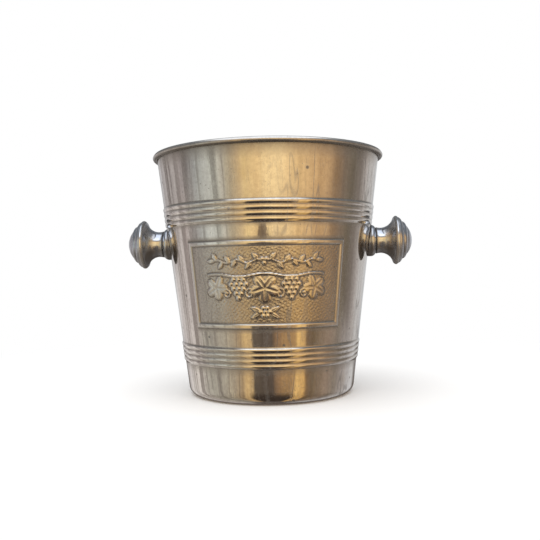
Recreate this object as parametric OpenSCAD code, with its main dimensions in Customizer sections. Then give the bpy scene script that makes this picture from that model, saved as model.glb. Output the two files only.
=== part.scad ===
// Champagne bucket: a tapered spun bucket in silver-plated brass, with a wired rim,
// two reeded bands, a framed panel stamped in its front and two turned knob handles.
// Origin at the centre of the base, +Z up, the panel faces -Y and the handles lie along X.

/* [Bucket] */
// Height from the table to the top of the rim
height = 206; // [180:1:230]
// Outer diameter of the rolled rim
rim_d = 200.2; // [190:0.1:220]
// Diameter that the wall would have at the table if its bottom corner were sharp
base_d = 142.5; // [135:0.5:150]
// Thickness of the sheet
sheet = 1; // [0.8:0.1:1.2]
// Thickness of the rolled rim
bead_d = 4.6; // [4.2:0.1:5.6]
// Radius of the bottom corner, outside
corner_r = 8; // [4:0.5:9]
// Height that the middle of the bottom is pushed up
recess = 2.5; // [1.5:0.5:4]

/* [Reeded bands] */
// Ribs in each band
rib_count = 4; // [3:1:4]
// Width of one rib
rib_w = 4.1; // [3.4:0.1:4.2]
// Height that a rib stands out of the wall
rib_h = 1; // [0.6:0.1:1.2]
// Height of the middle of the upper band
upper_band_z = 152.2; // [150:0.1:154]
// Distance between ribs of the upper band
upper_pitch = 4.5; // [4.4:0.1:4.8]
// Height of the middle of the lower band
lower_band_z = 37.8; // [34:0.1:40]
// Distance between ribs of the lower band
lower_pitch = 4.3; // [4.2:0.1:4.6]

/* [Panel] */
// Angle that the panel covers
panel_angle = 90; // [70:1:100]
// Height of the panel's lower edge
panel_bottom = 61; // [58:0.5:64]
// Height of the panel's upper edge
panel_top = 130; // [118:0.5:132]
// Width of the panel's frame
frame_w = 4.4; // [3.6:0.1:5]
// Height that the frame stands out of the wall
frame_h = 0.9; // [0.5:0.1:1.1]

/* [Handles] */
// Height of the handles' axis
handle_z = 130.5; // [120:0.5:134]
// Distance from the bucket's axis to the end of a knob
knob_reach = 124.8; // [122:0.1:130]
// Largest diameter of a knob
knob_d = 42.4; // [40:0.2:44]
// Smallest diameter of a knob's neck
neck_d = 22; // [20:0.2:24]
// Diameter of the collar at the wall
collar_d = 27.6; // [26:0.1:31]
// Diameter of the stud
stud_d = 6; // [5:0.5:6]
// Thickness of the gasket between the collar and the wall
gasket_t = 0.5; // [0.4:0.1:1.2]

/* [Hidden] */
$fn = 96;
silver = [0.80, 0.77, 0.72];
brass = [0.78, 0.62, 0.34];
rubber = [0.12, 0.12, 0.12];
fibre = [0.34, 0.22, 0.16];

// Wall: a straight taper from the base to the centre of the rolled rim.
bead_r = bead_d / 2;
curl_r = rim_d / 2 - bead_r;
curl_z = height - bead_r;
curl_inner_r = bead_r - sheet;
wall_top_r = rim_d / 2 - bead_d + sheet;
taper = (wall_top_r - base_d / 2) / curl_z;
lean = atan(taper);
curl_end = -125;
wire_play = 0.05;
arc_steps = 10;

// Bottom: corner arc, standing ring, then a smooth step up to the middle.
corner_x = base_d / 2 + taper * corner_r - corner_r / cos(lean);
ring_w = 6;
step_w = 5;
step_x = corner_x - ring_w;

// Handle: distances along its axis, from the bucket's axis.
seat_x = wall_r(handle_z);
collar_x = seat_x + 1.6;
collar_swell_r = 4.5;
groove_x = seat_x + 6.2;
groove_r = 10.8;
cove_x = seat_x + 10;
cove_r = 11.8;
edge_r = 1.7;
edge_x = knob_reach - 13.9;
button_r = 12.7;
button_h = 4.9;
button_x = knob_reach - button_h;
cap_wall = 1.4;
floor_x = knob_reach - 17;
bore_r = stud_d / 2 + 0.05;
hole_r = stud_d / 2 + 0.2;
bore_end = seat_x + 17;
washer_r = 9;
washer_t = 1.4;
washer_x = seat_x - sheet - 2.2;
nut_flat = 10;
nut_h = 5;
nut_x = washer_x - washer_t;
dome_r = nut_flat / 2 - 0.3;
stud_in = nut_x - nut_h - 1.5;
stud_out = bore_end - 1;

function wall_r(z) = base_d / 2 + taper * z;

// Points of an arc about [x, y], from angle a to angle b.
function arc(x, y, r, a, b, steps = arc_steps) =
    [for (i = [0:steps]) let (t = a + (b - a) * i / steps) [x + r * cos(t), y + r * sin(t)]];

function reversed(list) = [for (i = [len(list) - 1:-1:0]) list[i]];

// How far a rib of round section stands out at a distance u from its middle.
function rib_swell(u) =
    let (r = (rib_w * rib_w / 4 + rib_h * rib_h) / (2 * rib_h))
    sqrt(max(r * r - u * u, 0)) - (r - rib_h);

// One band of ribs, from the lowest up, moved inwards by inset.
function band(middle, pitch, inset) =
    [for (i = [0:rib_count - 1], k = [0:8])
        let (u = rib_w * (k / 8 - 0.5), z = middle + (i - (rib_count - 1) / 2) * pitch + u)
        [wall_r(z) + rib_swell(u) - inset, z]];

// The bottom's step, from the middle outwards, raised by lift.
function bottom_step(lift) =
    [for (k = [0:8]) let (t = k / 8)
        [step_x - step_w * (1 - t), lift + recess * (1 + cos(180 * t)) / 2]];

outer_line = concat(
    [[0, recess]],
    bottom_step(0),
    arc(corner_x, corner_r, corner_r, -90, -lean),
    band(lower_band_z, lower_pitch, 0),
    band(upper_band_z, upper_pitch, 0));
inner_line = concat(
    [[0, recess + sheet]],
    bottom_step(sheet),
    arc(corner_x, corner_r, corner_r - sheet, -90, -lean),
    band(lower_band_z, lower_pitch, sheet),
    band(upper_band_z, upper_pitch, sheet));
curl_line = concat(
    arc(curl_r, curl_z, curl_inner_r, 180, curl_end, 24),
    arc(curl_r, curl_z, bead_r, curl_end, 180, 24));

// The whole wall, drawn once as a section and turned about the axis.
module spun_sheet() {
    rotate_extrude()
        polygon(concat(outer_line, curl_line, reversed(inner_line)));
}

// A patch that follows the wall: from inner to outer beyond it, between two heights,
// across an angle about the front, with its upper and lower edges sloped by bevel.
module wall_patch(inner, outer, low, high, angle, bevel = 0) {
    rotate([0, 0, -90 - angle / 2])
        rotate_extrude(angle = angle)
            polygon([
                [wall_r(low) + inner, low], [wall_r(low + bevel) + outer, low + bevel],
                [wall_r(high - bevel) + outer, high - bevel], [wall_r(high) + inner, high]]);
}

// The raised frame of the panel. Shrink pulls all its edges in, for the hollow behind it.
module panel_frame(inner, outer, shrink = 0) {
    side = 360 * frame_w / (2 * PI * wall_r((panel_bottom + panel_top) / 2));
    turn = side * shrink / frame_w;
    difference() {
        wall_patch(inner, outer, panel_bottom + shrink, panel_top - shrink,
            panel_angle - 2 * turn, frame_h / 2);
        wall_patch(inner - 1, outer + 1, panel_bottom + frame_w - shrink,
            panel_top - frame_w + shrink, panel_angle - 2 * side + 2 * turn);
    }
}

module bucket_body() {
    color(silver) difference() {
        union() {
            spun_sheet();
            panel_frame(-sheet / 2, frame_h);
        }
        panel_frame(-sheet - 0.5, frame_h - sheet, 1);
        for (side = [0, 180])
            rotate([0, 90, side]) translate([-handle_z, 0, seat_x - 10]) cylinder(r = hole_r, h = 20);
    }
}

module rim_wire() {
    color(brass) rotate_extrude()
        translate([curl_r, curl_z]) circle(r = curl_inner_r - wire_play);
}

// Solid of the space inside the wall's outer face moved out by grow.
module inside_wall(grow) {
    low = handle_z - 30;
    translate([0, 0, low])
        cylinder(r1 = wall_r(low) + grow, r2 = wall_r(low + 60) + grow, h = 60, $fn = 360);
}

// A solid of revolution about the handle's axis: points are [distance from the bucket's axis, radius].
module turned(points) {
    translate([0, 0, handle_z]) rotate([0, 90, 0])
        rotate_extrude() polygon([for (p = points) [p[1], p[0]]]);
}

// A plain round bar or ring along the handle's axis.
module bar(from, to, r, hole = 0) {
    translate([from, 0, handle_z]) rotate([0, 90, 0]) difference() {
        cylinder(r = r, h = to - from);
        if (hole > 0) translate([0, 0, -1]) cylinder(r = hole, h = to - from + 2);
    }
}

// Neck with its collar and the flared back of the knob, seated on the wall and hollow in the head.
module knob_spool() {
    neck_r = neck_d / 2;
    rim_r = knob_d / 2;
    cove_y = neck_r + cove_r;
    flare_a = asin((cove_y - rim_r + edge_r * 0.8) / cove_r);
    lip_x = edge_x + edge_r * 0.7;
    color(silver) difference() {
        turned(concat(
            [[seat_x - 4, 0]],
            [[seat_x - 4, collar_d / 2 - 0.6]],
            arc(collar_x, collar_d / 2 - collar_swell_r, collar_swell_r, 100, 25, 8),
            [[groove_x, groove_r]],
            arc(cove_x, cove_y, cove_r, 252, 360 - flare_a, 14),
            arc(edge_x, rim_r - edge_r, edge_r, 130, 45, 6),
            [[lip_x, rim_r - 2], [lip_x - 1.2, rim_r - 2.4], [floor_x, 11], [floor_x, 0]]));
        inside_wall(gasket_t);
        bar(seat_x - 5, bore_end, bore_r);
    }
}

// Stepped dome that closes the head: two rounded rings and a button.
module knob_cap() {
    lip_x = edge_x + edge_r * 0.7;
    rings = 2;
    start = [lip_x + 0.1, knob_d / 2 - 0.9];
    stop = [button_x, button_r];
    run = (stop - start) / rings;
    tilt = atan2(run[1], run[0]);
    swell = 0.55;
    ball_r = (button_r * button_r + button_h * button_h) / (2 * button_h);
    ball_a = asin((button_r - 0.5) / ball_r);
    back_x = lip_x - 1.1;
    color(silver) difference() {
        turned(concat(
            [[back_x, 0], [back_x, knob_d / 2 - 2.5], [lip_x + 0.05, knob_d / 2 - 2.1]],
            [for (i = [0:rings - 1], k = [0:6])
                let (t = k / 6, p = start + run * (i + t * 0.94), s = swell * sin(180 * t))
                [p[0] - s * sin(tilt), p[1] + s * cos(tilt)]],
            arc(knob_reach - ball_r, 0, ball_r, ball_a, 0, 10)));
        turned([
            [back_x - 1, 0], [back_x - 1, knob_d / 2 - 2.5 - cap_wall],
            [back_x + 1, knob_d / 2 - 2.5 - cap_wall], [button_x, button_r - 2 * cap_wall],
            [knob_reach - 1.2 * cap_wall, button_r / 4], [knob_reach - 1.2 * cap_wall, 0]]);
    }
}

module stud() {
    color(brass) bar(stud_in, stud_out, stud_d / 2);
}

// Thin gasket that follows the wall under the collar.
module collar_gasket() {
    color(fibre) difference() {
        intersection() {
            bar(seat_x - 4, seat_x + 6, collar_d / 2 - 0.4);
            inside_wall(gasket_t);
        }
        inside_wall(0);
        bar(seat_x - 5, seat_x + 7, hole_r);
    }
}

// Rubber seal inside the bucket: flat towards the washer, shaped to the wall behind.
module inner_gasket() {
    color(rubber) difference() {
        intersection() {
            bar(washer_x, seat_x + 4, washer_r - 0.5);
            inside_wall(-sheet);
        }
        bar(washer_x - 1, seat_x + 5, hole_r);
    }
}

module washer() {
    color(silver) bar(nut_x, washer_x, washer_r, hole_r);
}

// Closed nut with a hexagon and a dome.
module dome_nut() {
    corner = nut_flat / 2 / cos(30);
    color(silver) difference() {
        translate([nut_x, 0, handle_z]) rotate([0, -90, 0]) union() {
            intersection() {
                cylinder(r = corner, h = nut_h, $fn = 6);
                cylinder(r1 = corner + nut_h - 0.6, r2 = corner - 0.6, h = nut_h);
            }
            translate([0, 0, nut_h - 0.01]) intersection() {
                sphere(r = dome_r);
                cylinder(r = dome_r + 1, h = dome_r + 1);
            }
        }
        bar(stud_in - 0.3, nut_x + 1, bore_r);
    }
}

module left() {
    mirror([1, 0, 0]) children();
}

bucket_body();
rim_wire();
knob_spool();  // right_knob_spool
knob_cap();  // right_knob_cap
stud();  // right_stud
collar_gasket();  // right_collar_gasket
inner_gasket();  // right_inner_gasket
washer();  // right_washer
dome_nut();  // right_dome_nut
left() knob_spool();  // left_knob_spool
left() knob_cap();  // left_knob_cap
left() stud();  // left_stud
left() collar_gasket();  // left_collar_gasket
left() inner_gasket();  // left_inner_gasket
left() washer();  // left_washer
left() dome_nut();  // left_dome_nut
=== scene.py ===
"""Champagne bucket: silver-plated, tapered, with a wired rim, two reeded bands, a framed panel of vine relief
and two turned knob handles. Laid out as an add-on: sizes and colours in property groups, one operator for each
piece or group of like pieces and one for the stage. Origin at the centre of the base, +Z up, the panel faces -Y
and the handles lie along X."""

import math

import bpy
import numpy as np
from mathutils import Matrix, Vector


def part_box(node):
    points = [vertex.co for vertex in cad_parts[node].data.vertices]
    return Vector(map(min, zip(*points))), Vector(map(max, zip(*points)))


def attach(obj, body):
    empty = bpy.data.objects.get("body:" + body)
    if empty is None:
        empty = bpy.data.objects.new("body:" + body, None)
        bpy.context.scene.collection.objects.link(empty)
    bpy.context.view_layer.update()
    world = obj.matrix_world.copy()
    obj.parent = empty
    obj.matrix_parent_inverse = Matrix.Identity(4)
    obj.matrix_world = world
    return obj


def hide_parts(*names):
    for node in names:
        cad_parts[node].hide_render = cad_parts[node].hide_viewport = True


bl_info = {
    "name": "Champagne Bucket",
    "version": (1, 0, 0),
    "blender": (4, 5, 0),
    "location": "View3D > Sidebar > Bucket",
    "description": "Builds a silver-plated champagne bucket with knob handles around its frame",
    "category": "Add Mesh",
}

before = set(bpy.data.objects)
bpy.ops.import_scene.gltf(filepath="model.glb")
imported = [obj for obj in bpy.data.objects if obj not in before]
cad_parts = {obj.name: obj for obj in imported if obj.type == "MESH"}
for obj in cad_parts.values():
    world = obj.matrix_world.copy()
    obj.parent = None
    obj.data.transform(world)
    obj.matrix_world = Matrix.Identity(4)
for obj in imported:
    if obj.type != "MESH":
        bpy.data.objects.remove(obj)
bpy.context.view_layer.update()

MM = 0.001
BODY_LOW, BODY_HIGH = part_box("bucket_body")
SPOOL_LOW, SPOOL_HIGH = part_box("right_knob_spool")
CAP_LOW, CAP_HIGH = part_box("right_knob_cap")

BAND_TOP_EDGE = 1.4 * MM    # width of the steep upper edge of a band
BAND_FOOT_EDGE = 2.0 * MM   # width of the gentle lower edge of a band
FRAME_ROW = 0.32 * MM       # distance between the wall's rows along the panel's frame
FRAME_FLANK = 0.96 * MM     # width of each sloping side of the frame
VINE_TOP = 1.15             # height of the highest part of the vine, in millimetres, before it is scaled
GROOVE_PLACE = 6.2 * MM     # from the wall to the groove beside the collar


# ---------------- properties

def length(name, description, default):
    return bpy.props.FloatProperty(
        name=name, description=description, default=default, min=0.0, unit="LENGTH", precision=5)


def turn(name, description, default):
    return bpy.props.FloatProperty(
        name=name, description=description, default=math.radians(default), subtype="ANGLE")


def colour(name, description, default):
    return bpy.props.FloatVectorProperty(
        name=name, description=description, default=default, size=3, min=0.0, max=1.0, subtype="COLOR")


def number(name, description, default, high=10.0):
    return bpy.props.FloatProperty(name=name, description=description, default=default, min=0.0, max=high)


class BucketSizes(bpy.types.PropertyGroup):
    height: length("Height", "From the table to the top of the rim", BODY_HIGH.z)
    rim_radius: length("Rim radius", "Outer radius of the rolled rim", BODY_HIGH.x - 0.02 * MM)
    base_radius: length("Base radius", "Radius of the wall at the table, without its corner", 71.25 * MM)
    sheet: length("Sheet", "Thickness of the metal", 1.0 * MM)
    bead: length("Rim bead", "Radius of the rolled rim's section", 2.3 * MM)
    corner: length("Corner", "Outer radius of the bottom corner", 8.0 * MM)
    recess: length("Recess", "How far the middle of the bottom is pushed up", 2.5 * MM)
    ring: length("Standing ring", "Width of the flat ring that the bucket stands on", 6.0 * MM)
    step: length("Step", "Width of the slope inside the standing ring", 5.0 * MM)


class BandSizes(bpy.types.PropertyGroup):
    ribs: bpy.props.IntProperty(name="Ribs", description="Ribs in each band", default=4, min=1, max=8)
    rib_height: length("Rib height", "How far a rib stands out of the wall", 1.0 * MM)
    upper_z: length("Upper band", "Height of the middle of the upper band", 152.2 * MM)
    upper_pitch: length("Upper pitch", "Distance between ribs of the upper band", 4.5 * MM)
    lower_z: length("Lower band", "Height of the middle of the lower band", 37.8 * MM)
    lower_pitch: length("Lower pitch", "Distance between ribs of the lower band", 4.3 * MM)


class PanelSizes(bpy.types.PropertyGroup):
    angle: turn("Angle", "Part of the wall that the panel covers", 90.0)
    bottom: length("Bottom", "Height of the panel's lower edge", 61.0 * MM)
    top: length("Top", "Height of the panel's upper edge", 130.0 * MM)
    frame_width: length("Frame width", "Width of the panel's frame", 4.4 * MM)
    frame_height: length("Frame height", "How far the frame stands out of the wall", 0.9 * MM)
    relief_height: length("Relief height", "How far the vine stands out of the wall", 1.15 * MM)
    grid: length("Grid", "Distance between points of the panel's surface", 0.64 * MM)


class HandleSizes(bpy.types.PropertyGroup):
    axis_z: length("Axis", "Height of the handles' axis", (SPOOL_LOW.z + SPOOL_HIGH.z) / 2)
    reach: length("Reach", "Distance from the bucket's axis to the end of a knob", CAP_HIGH.x)
    head_radius: length("Head radius", "Largest radius of a knob", (SPOOL_HIGH.z - SPOOL_LOW.z) / 2)
    neck_radius: length("Neck radius", "Smallest radius of a knob's neck", 11.0 * MM)
    cove_radius: length("Cove radius", "Radius of the neck's hollow curve", 11.8 * MM)
    collar_radius: length("Collar radius", "Radius of the collar at the wall", 13.8 * MM)
    collar_swell: length("Collar swell", "Radius of the collar's rounded edge", 4.5 * MM)
    edge_radius: length("Edge radius", "Rounding of a knob's widest edge", 1.7 * MM)
    edge_depth: length("Edge depth", "From a knob's widest edge to its end", 13.9 * MM)
    button_radius: length("Button radius", "Radius of the button in the middle of a dome", 12.7 * MM)
    button_height: length("Button height", "How far the button stands out", 4.9 * MM)
    shell: length("Shell", "Thickness of a dome", 1.4 * MM)
    bore_radius: length("Bore radius", "Radius of the hole for the stud", 3.05 * MM)
    gasket: length("Gasket", "Thickness of the gasket under the collar", 0.5 * MM)


class FinishColours(bpy.types.PropertyGroup):
    silver: colour("Silver", "Polished silver plate", (0.87, 0.83, 0.77))
    # Knob silver: the same plate tinted cool and blue, a painted reflection of the steel-blue that the knobs
    # mirror.
    knob: colour("Knob silver", "Cool blue-tinted plate on the knobs, a painted reflection", (0.72, 0.755, 0.82))
    tarnish: colour("Tarnish", "Warm film on the silver", (0.60, 0.49, 0.33))
    # Grime: the dark oxide in hollows, and also the colour of the painted shade under the rim, at the panel's
    # frame, vine and collars and under the knobs.
    grime_and_shade: colour("Grime", "Dark oxide left in hollows and painted shade", (0.085, 0.068, 0.050))
    brass: colour("Brass", "Bare brass", (0.66, 0.47, 0.22))
    nickel: colour("Nickel", "Nickel plate", (0.62, 0.60, 0.56))
    fibre: colour("Fibre", "Vulcanised fibre of the gaskets", (0.030, 0.018, 0.013))
    rubber: colour("Rubber", "Black rubber of the seals", (0.018, 0.018, 0.018))


class StageSettings(bpy.types.PropertyGroup):
    distance: length("Distance", "From the camera to the bucket's axis", 0.600)
    camera_z: length("Camera height", "Height of the lens above the table", 0.1097)
    side: length("Side shift", "How far the camera stands to the right of the axis", 0.00026)
    azimuth: turn("Azimuth", "How far the camera has moved round to the bucket's right", 2.7)
    pitch: turn("Pitch", "How far the camera looks up", -0.34)
    roll: turn("Roll", "How far the picture leans anticlockwise", 1.03)
    lens: number("Lens", "Focal length in millimetres for a 36 mm sensor", 45.23, 200.0)
    floor: colour("Floor", "Pale floor", (0.97, 0.97, 0.97))


GROUPS = {
    "bucket_sizes": BucketSizes, "bucket_bands": BandSizes, "bucket_panel": PanelSizes,
    "bucket_handles": HandleSizes, "bucket_colours": FinishColours, "bucket_stage": StageSettings,
}


# ---------------- modelling by hand

def deselect():
    if bpy.context.object is not None and bpy.context.object.mode != "OBJECT":
        bpy.ops.object.mode_set(mode="OBJECT")
    bpy.ops.object.select_all(action="DESELECT")


def draw_outline(name, points):
    """A new piece with one chain of edges: a vertex at the first point is extruded to each other one."""
    deselect()
    bpy.ops.mesh.primitive_plane_add(size=MM, location=(0, 0, 0))
    piece = bpy.context.object
    piece.name = piece.data.name = name
    bpy.ops.object.mode_set(mode="EDIT")
    bpy.ops.mesh.select_mode(type="VERT")
    bpy.ops.mesh.select_all(action="SELECT")
    bpy.ops.mesh.merge(type="CENTER")
    bpy.ops.transform.translate(value=points[0])
    for here, there in zip(points, points[1:]):
        bpy.ops.mesh.extrude_region_move(TRANSFORM_OT_translate={"value": Vector(there) - Vector(here)})
    return piece


def spin_outline(piece, centre, axis, sweeps):
    """Turns the outline about an axis, one sweep after another, and closes it. A sweep is (angle, steps)."""
    bpy.ops.mesh.select_all(action="SELECT")
    for angle, steps in sweeps:
        bpy.ops.mesh.spin(steps=steps, angle=angle, center=centre, axis=axis)
    bpy.ops.mesh.select_all(action="SELECT")
    bpy.ops.mesh.remove_doubles(threshold=0.00001)
    bpy.ops.mesh.normals_make_consistent(inside=False)
    bpy.ops.object.mode_set(mode="OBJECT")
    return piece


def places(piece):
    co = np.empty(len(piece.data.vertices) * 3)
    piece.data.vertices.foreach_get("co", co)
    return co.reshape(-1, 3)


def move_points(piece, co):
    piece.data.vertices.foreach_set("co", co.ravel())
    piece.data.update()


def paint(piece, name, values):
    """Keeps one number for each point of the mesh, for the materials to read."""
    layer = piece.data.attributes.get(name) or piece.data.attributes.new(name, "FLOAT", "POINT")
    layer.data.foreach_set("value", np.clip(values, 0.0, 1.0).astype(np.float32))


def finish_piece(piece, material, node, angle):
    """Smooths the piece, gives it its finish and puts it in the place of its CAD node."""
    deselect()
    piece.select_set(True)
    bpy.context.view_layer.objects.active = piece
    bpy.ops.object.shade_smooth_by_angle(angle=math.radians(angle))
    piece.data.materials.clear()
    piece.data.materials.append(material)
    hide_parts(node)
    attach(piece, "root")


def arc(x, y, r, start, end, steps):
    """Points on an arc about (x, y), angles in degrees."""
    angles = [math.radians(start + (end - start) * i / steps) for i in range(steps + 1)]
    return [(x + r * math.cos(a), y + r * math.sin(a)) for a in angles]


def smooth(x, low, high):
    t = np.clip((np.asarray(x, float) - low) / (high - low), 0.0, 1.0)
    return t * t * (3.0 - 2.0 * t)


def bell(x, centre, width):
    """A soft bump round a centre, from 0 to 1."""
    return np.exp(-((x - centre) / width) ** 2)


# ---------------- the wall's shape

class Wall:
    """The bucket's section, worked out from its sizes."""

    def __init__(self, scene):
        size, self.bands, self.panel = scene.bucket_sizes, scene.bucket_bands, scene.bucket_panel
        self.size = size
        self.axis_z = scene.bucket_handles.axis_z
        self.curl_r = size.rim_radius - size.bead
        self.curl_z = size.height - size.bead
        self.top_r = size.rim_radius - 2 * size.bead + size.sheet
        self.taper = (self.top_r - size.base_radius) / self.curl_z
        self.lean = math.degrees(math.atan(self.taper))
        corner_reach = size.corner / math.cos(math.radians(self.lean))
        self.corner_x = size.base_radius + self.taper * size.corner - corner_reach
        self.step_x = self.corner_x - size.ring

    def radius(self, z):
        return self.size.base_radius + self.taper * z

    def band_swell(self, z, middle, pitch):
        """Ribs side by side on a plateau with a steep upper edge and a gentle lower one."""
        w = (np.asarray(z, float) - middle) / pitch
        below_top = (self.bands.ribs / 2 - w) * pitch
        above_foot = (self.bands.ribs / 2 + w) * pitch
        steep = np.clip(below_top / BAND_TOP_EDGE, 0, 1)
        gentle = np.sin(np.clip(above_foot / BAND_FOOT_EDGE, 0, 1) * math.pi / 2)
        scallop = np.abs(np.cos(math.pi * (w + (self.bands.ribs + 1) / 2)))
        return self.bands.rib_height * np.minimum(steep, gentle) * (0.48 + 0.52 * scallop)

    def swell(self, z):
        b = self.bands
        return self.band_swell(z, b.upper_z, b.upper_pitch) + self.band_swell(z, b.lower_z, b.lower_pitch)

    def levels(self, outside):
        """Heights of the wall's rows, from the corner up: close together where there is detail."""
        b, p = self.bands, self.panel
        per_rib = 8 if outside else 2
        stops = []
        for middle, pitch in ((b.lower_z, b.lower_pitch), (b.upper_z, b.upper_pitch)):
            half = b.ribs / 2 * pitch
            stops.append(list(np.linspace(middle - half, middle + half, b.ribs * per_rib + 1)))
            if outside:
                stops[-1][-1:] = [middle + half - 0.25 * MM, middle + half]
        low = list(np.linspace(self.size.corner + 3.5 * MM, stops[0][0] - 0.6 * MM, 4))
        if outside:
            edge_rows = [k * FRAME_ROW for k in range(-1, round(p.frame_width / FRAME_ROW) + 1)]
            field = np.arange(p.bottom + edge_rows[-1] + p.grid, p.top - edge_rows[-1] - p.grid / 2, p.grid)
            panel = [p.bottom + row for row in edge_rows] + list(field)
            panel += [p.top - row for row in edge_rows[::-1]]
        else:
            panel = list(np.linspace(p.bottom - 1 * MM, p.top + 1 * MM, 9))
        gap_1 = list(np.linspace(stops[0][-1] + 0.6 * MM, panel[0], 5))[:-1]
        gap_2 = list(np.linspace(panel[-1], stops[1][0] - 0.6 * MM, 5))[1:]
        top = list(np.linspace(stops[1][-1] + 0.6 * MM, self.curl_z - 4 * MM, 5 if outside else 4))
        return low + stops[0] + gap_1 + panel + gap_2 + stops[1] + top

    def floor_line(self, lift, radius, steps):
        """Bottom of the bucket from its middle to the end of the corner."""
        s = self.size
        slope = [(self.step_x - s.step * (1 - k / 6), lift + s.recess * (1 + math.cos(math.pi * k / 6)) / 2)
                  for k in range(7)]
        flat = [(0.0, lift + s.recess), (self.step_x / 2, lift + s.recess)]
        return flat + slope + arc(self.corner_x, s.corner, radius, -90, -self.lean, steps)

    def curl_point(self, angle):
        """A point of the rolled rim's section, which has a shallow flat on its upper outer side."""
        turned = math.radians(angle)
        reach = min(1.0, 0.925 / max(math.cos(turned - math.radians(33)), 0.1)) * self.size.bead
        return self.curl_r + reach * math.cos(turned), self.curl_z + reach * math.sin(turned)

    def outline(self):
        """The closed section of the sheet: under the bottom, up the outside, round the rim, down the inside."""
        s = self.size
        outside = [(self.radius(z) + float(self.swell(z)), z) for z in self.levels(True)]
        inside = [(self.radius(z) + float(self.swell(z)) - s.sheet, z) for z in self.levels(False)]
        curl = arc(self.curl_r, self.curl_z, s.bead - s.sheet, 180, -125, 8)
        curl += [self.curl_point(angle) for angle in np.linspace(-125, 180, 25)]
        under = self.floor_line(0.0, s.corner, 7)
        over = self.floor_line(s.sheet, s.corner - s.sheet, 5)
        return under + outside + curl + inside[::-1] + over[::-1]


# ---------------- the vine relief

class Relief:
    """Raised shapes on the panel, in millimetres across (s) and up (z), merged into one height and outline."""

    def __init__(self, s, z):
        self.s, self.z = s, z
        self.height = np.zeros_like(s)
        self.gap = np.full_like(s, 50.0)

    def add(self, height, gap):
        """Merges a shape, given by its height and by the distance to its outline, under 0 inside."""
        self.height = np.maximum(self.height, height)
        self.gap = np.minimum(self.gap, np.maximum(gap, 0.0))

    def rounded(self, d, r, h):
        """A round-topped shape from the distances to its middle."""
        self.add(h * np.sqrt(np.clip(1 - (d / r) ** 2, 0, 1)), d - r)

    def ball(self, s, z, r, h):
        self.rounded(np.hypot(self.s - s, self.z - z), r, h)

    def curve(self, points, r, h):
        """Round bars from point to point."""
        for (s0, z0), (s1, z1) in zip(points, points[1:]):
            ds, dz = s1 - s0, z1 - z0
            t = np.clip(((self.s - s0) * ds + (self.z - z0) * dz) / (ds * ds + dz * dz), 0, 1)
            self.rounded(np.hypot(self.s - s0 - t * ds, self.z - z0 - t * dz), r, h)

    def blade(self, way, s, z, direction, long, half):
        """A pointed leaf with a sunk midrib, from its stalk at (s, z). A way of -1 mirrors it to the left."""
        s, a = way * s, math.radians(direction if way > 0 else 180 - direction)
        along = ((self.s - s) * math.cos(a) + (self.z - z) * math.sin(a)) / long
        across = np.abs(-(self.s - s) * math.sin(a) + (self.z - z) * math.cos(a))
        width = half * np.sin(math.pi * np.clip(along, 0, 1) ** 0.75) + 0.02
        inside = (along > 0) & (along < 1)
        dome = np.sqrt(np.clip(1 - (across / width) ** 2, 0, 1))
        rib = 1 - 0.42 * bell(across, 0, 0.45)
        off = np.where(inside, across - width, 3.0)
        self.add(np.where(inside, dome * rib, 0.0), off)

    def leaf(self, s, z, r, h, lean):
        """A vine leaf with five lobes, veins and a notch at its stalk, which points up."""
        ds, dz = self.s - s, self.z - z
        d = np.hypot(ds, dz)
        a = np.arctan2(ds, -dz) - math.radians(lean)
        lobe = np.abs(np.cos(2.5 * a)) ** 0.62
        teeth = 0.05 * np.abs(np.sin(12 * a))
        outline = r * (0.56 + 0.40 * lobe + teeth) * (1 - 0.34 * bell(np.abs(a), math.pi, 0.30))
        dome = np.sqrt(np.clip(1 - (d / outline) ** 4, 0, 1)) * (0.70 + 0.30 * (d / r) ** 2)
        vein = np.ones_like(d)
        for k in (-2, -1, 0, 1, 2):
            b = a - k * 2 * math.pi / 5
            side = np.abs(np.sin(b)) * d
            vein = np.minimum(vein, 1 - 0.45 * bell(side, 0, 0.5) * (np.cos(b) > 0) * (d < 0.85 * outline))
        self.add(h * dome * vein, d - outline)

    def bunch(self, s, z, rows, r, pitch, h):
        """Grapes in rows, the top row at z."""
        for row, count in enumerate(rows):
            for k in range(count):
                self.ball(s + (k - (count - 1) / 2) * pitch, z - row * pitch * 0.86, r, h)

    def tendril(self, s, z, size, way):
        """A curl that winds inwards: way is 1 or -1 for the side that it turns to."""
        turns = [(size * (1 - 0.085 * k), math.radians(90 - way * 42 * k)) for k in range(11)]
        self.curve([(s + q * math.cos(a), z + q * math.sin(a)) for q, a in turns], 0.75, 0.8)


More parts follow.
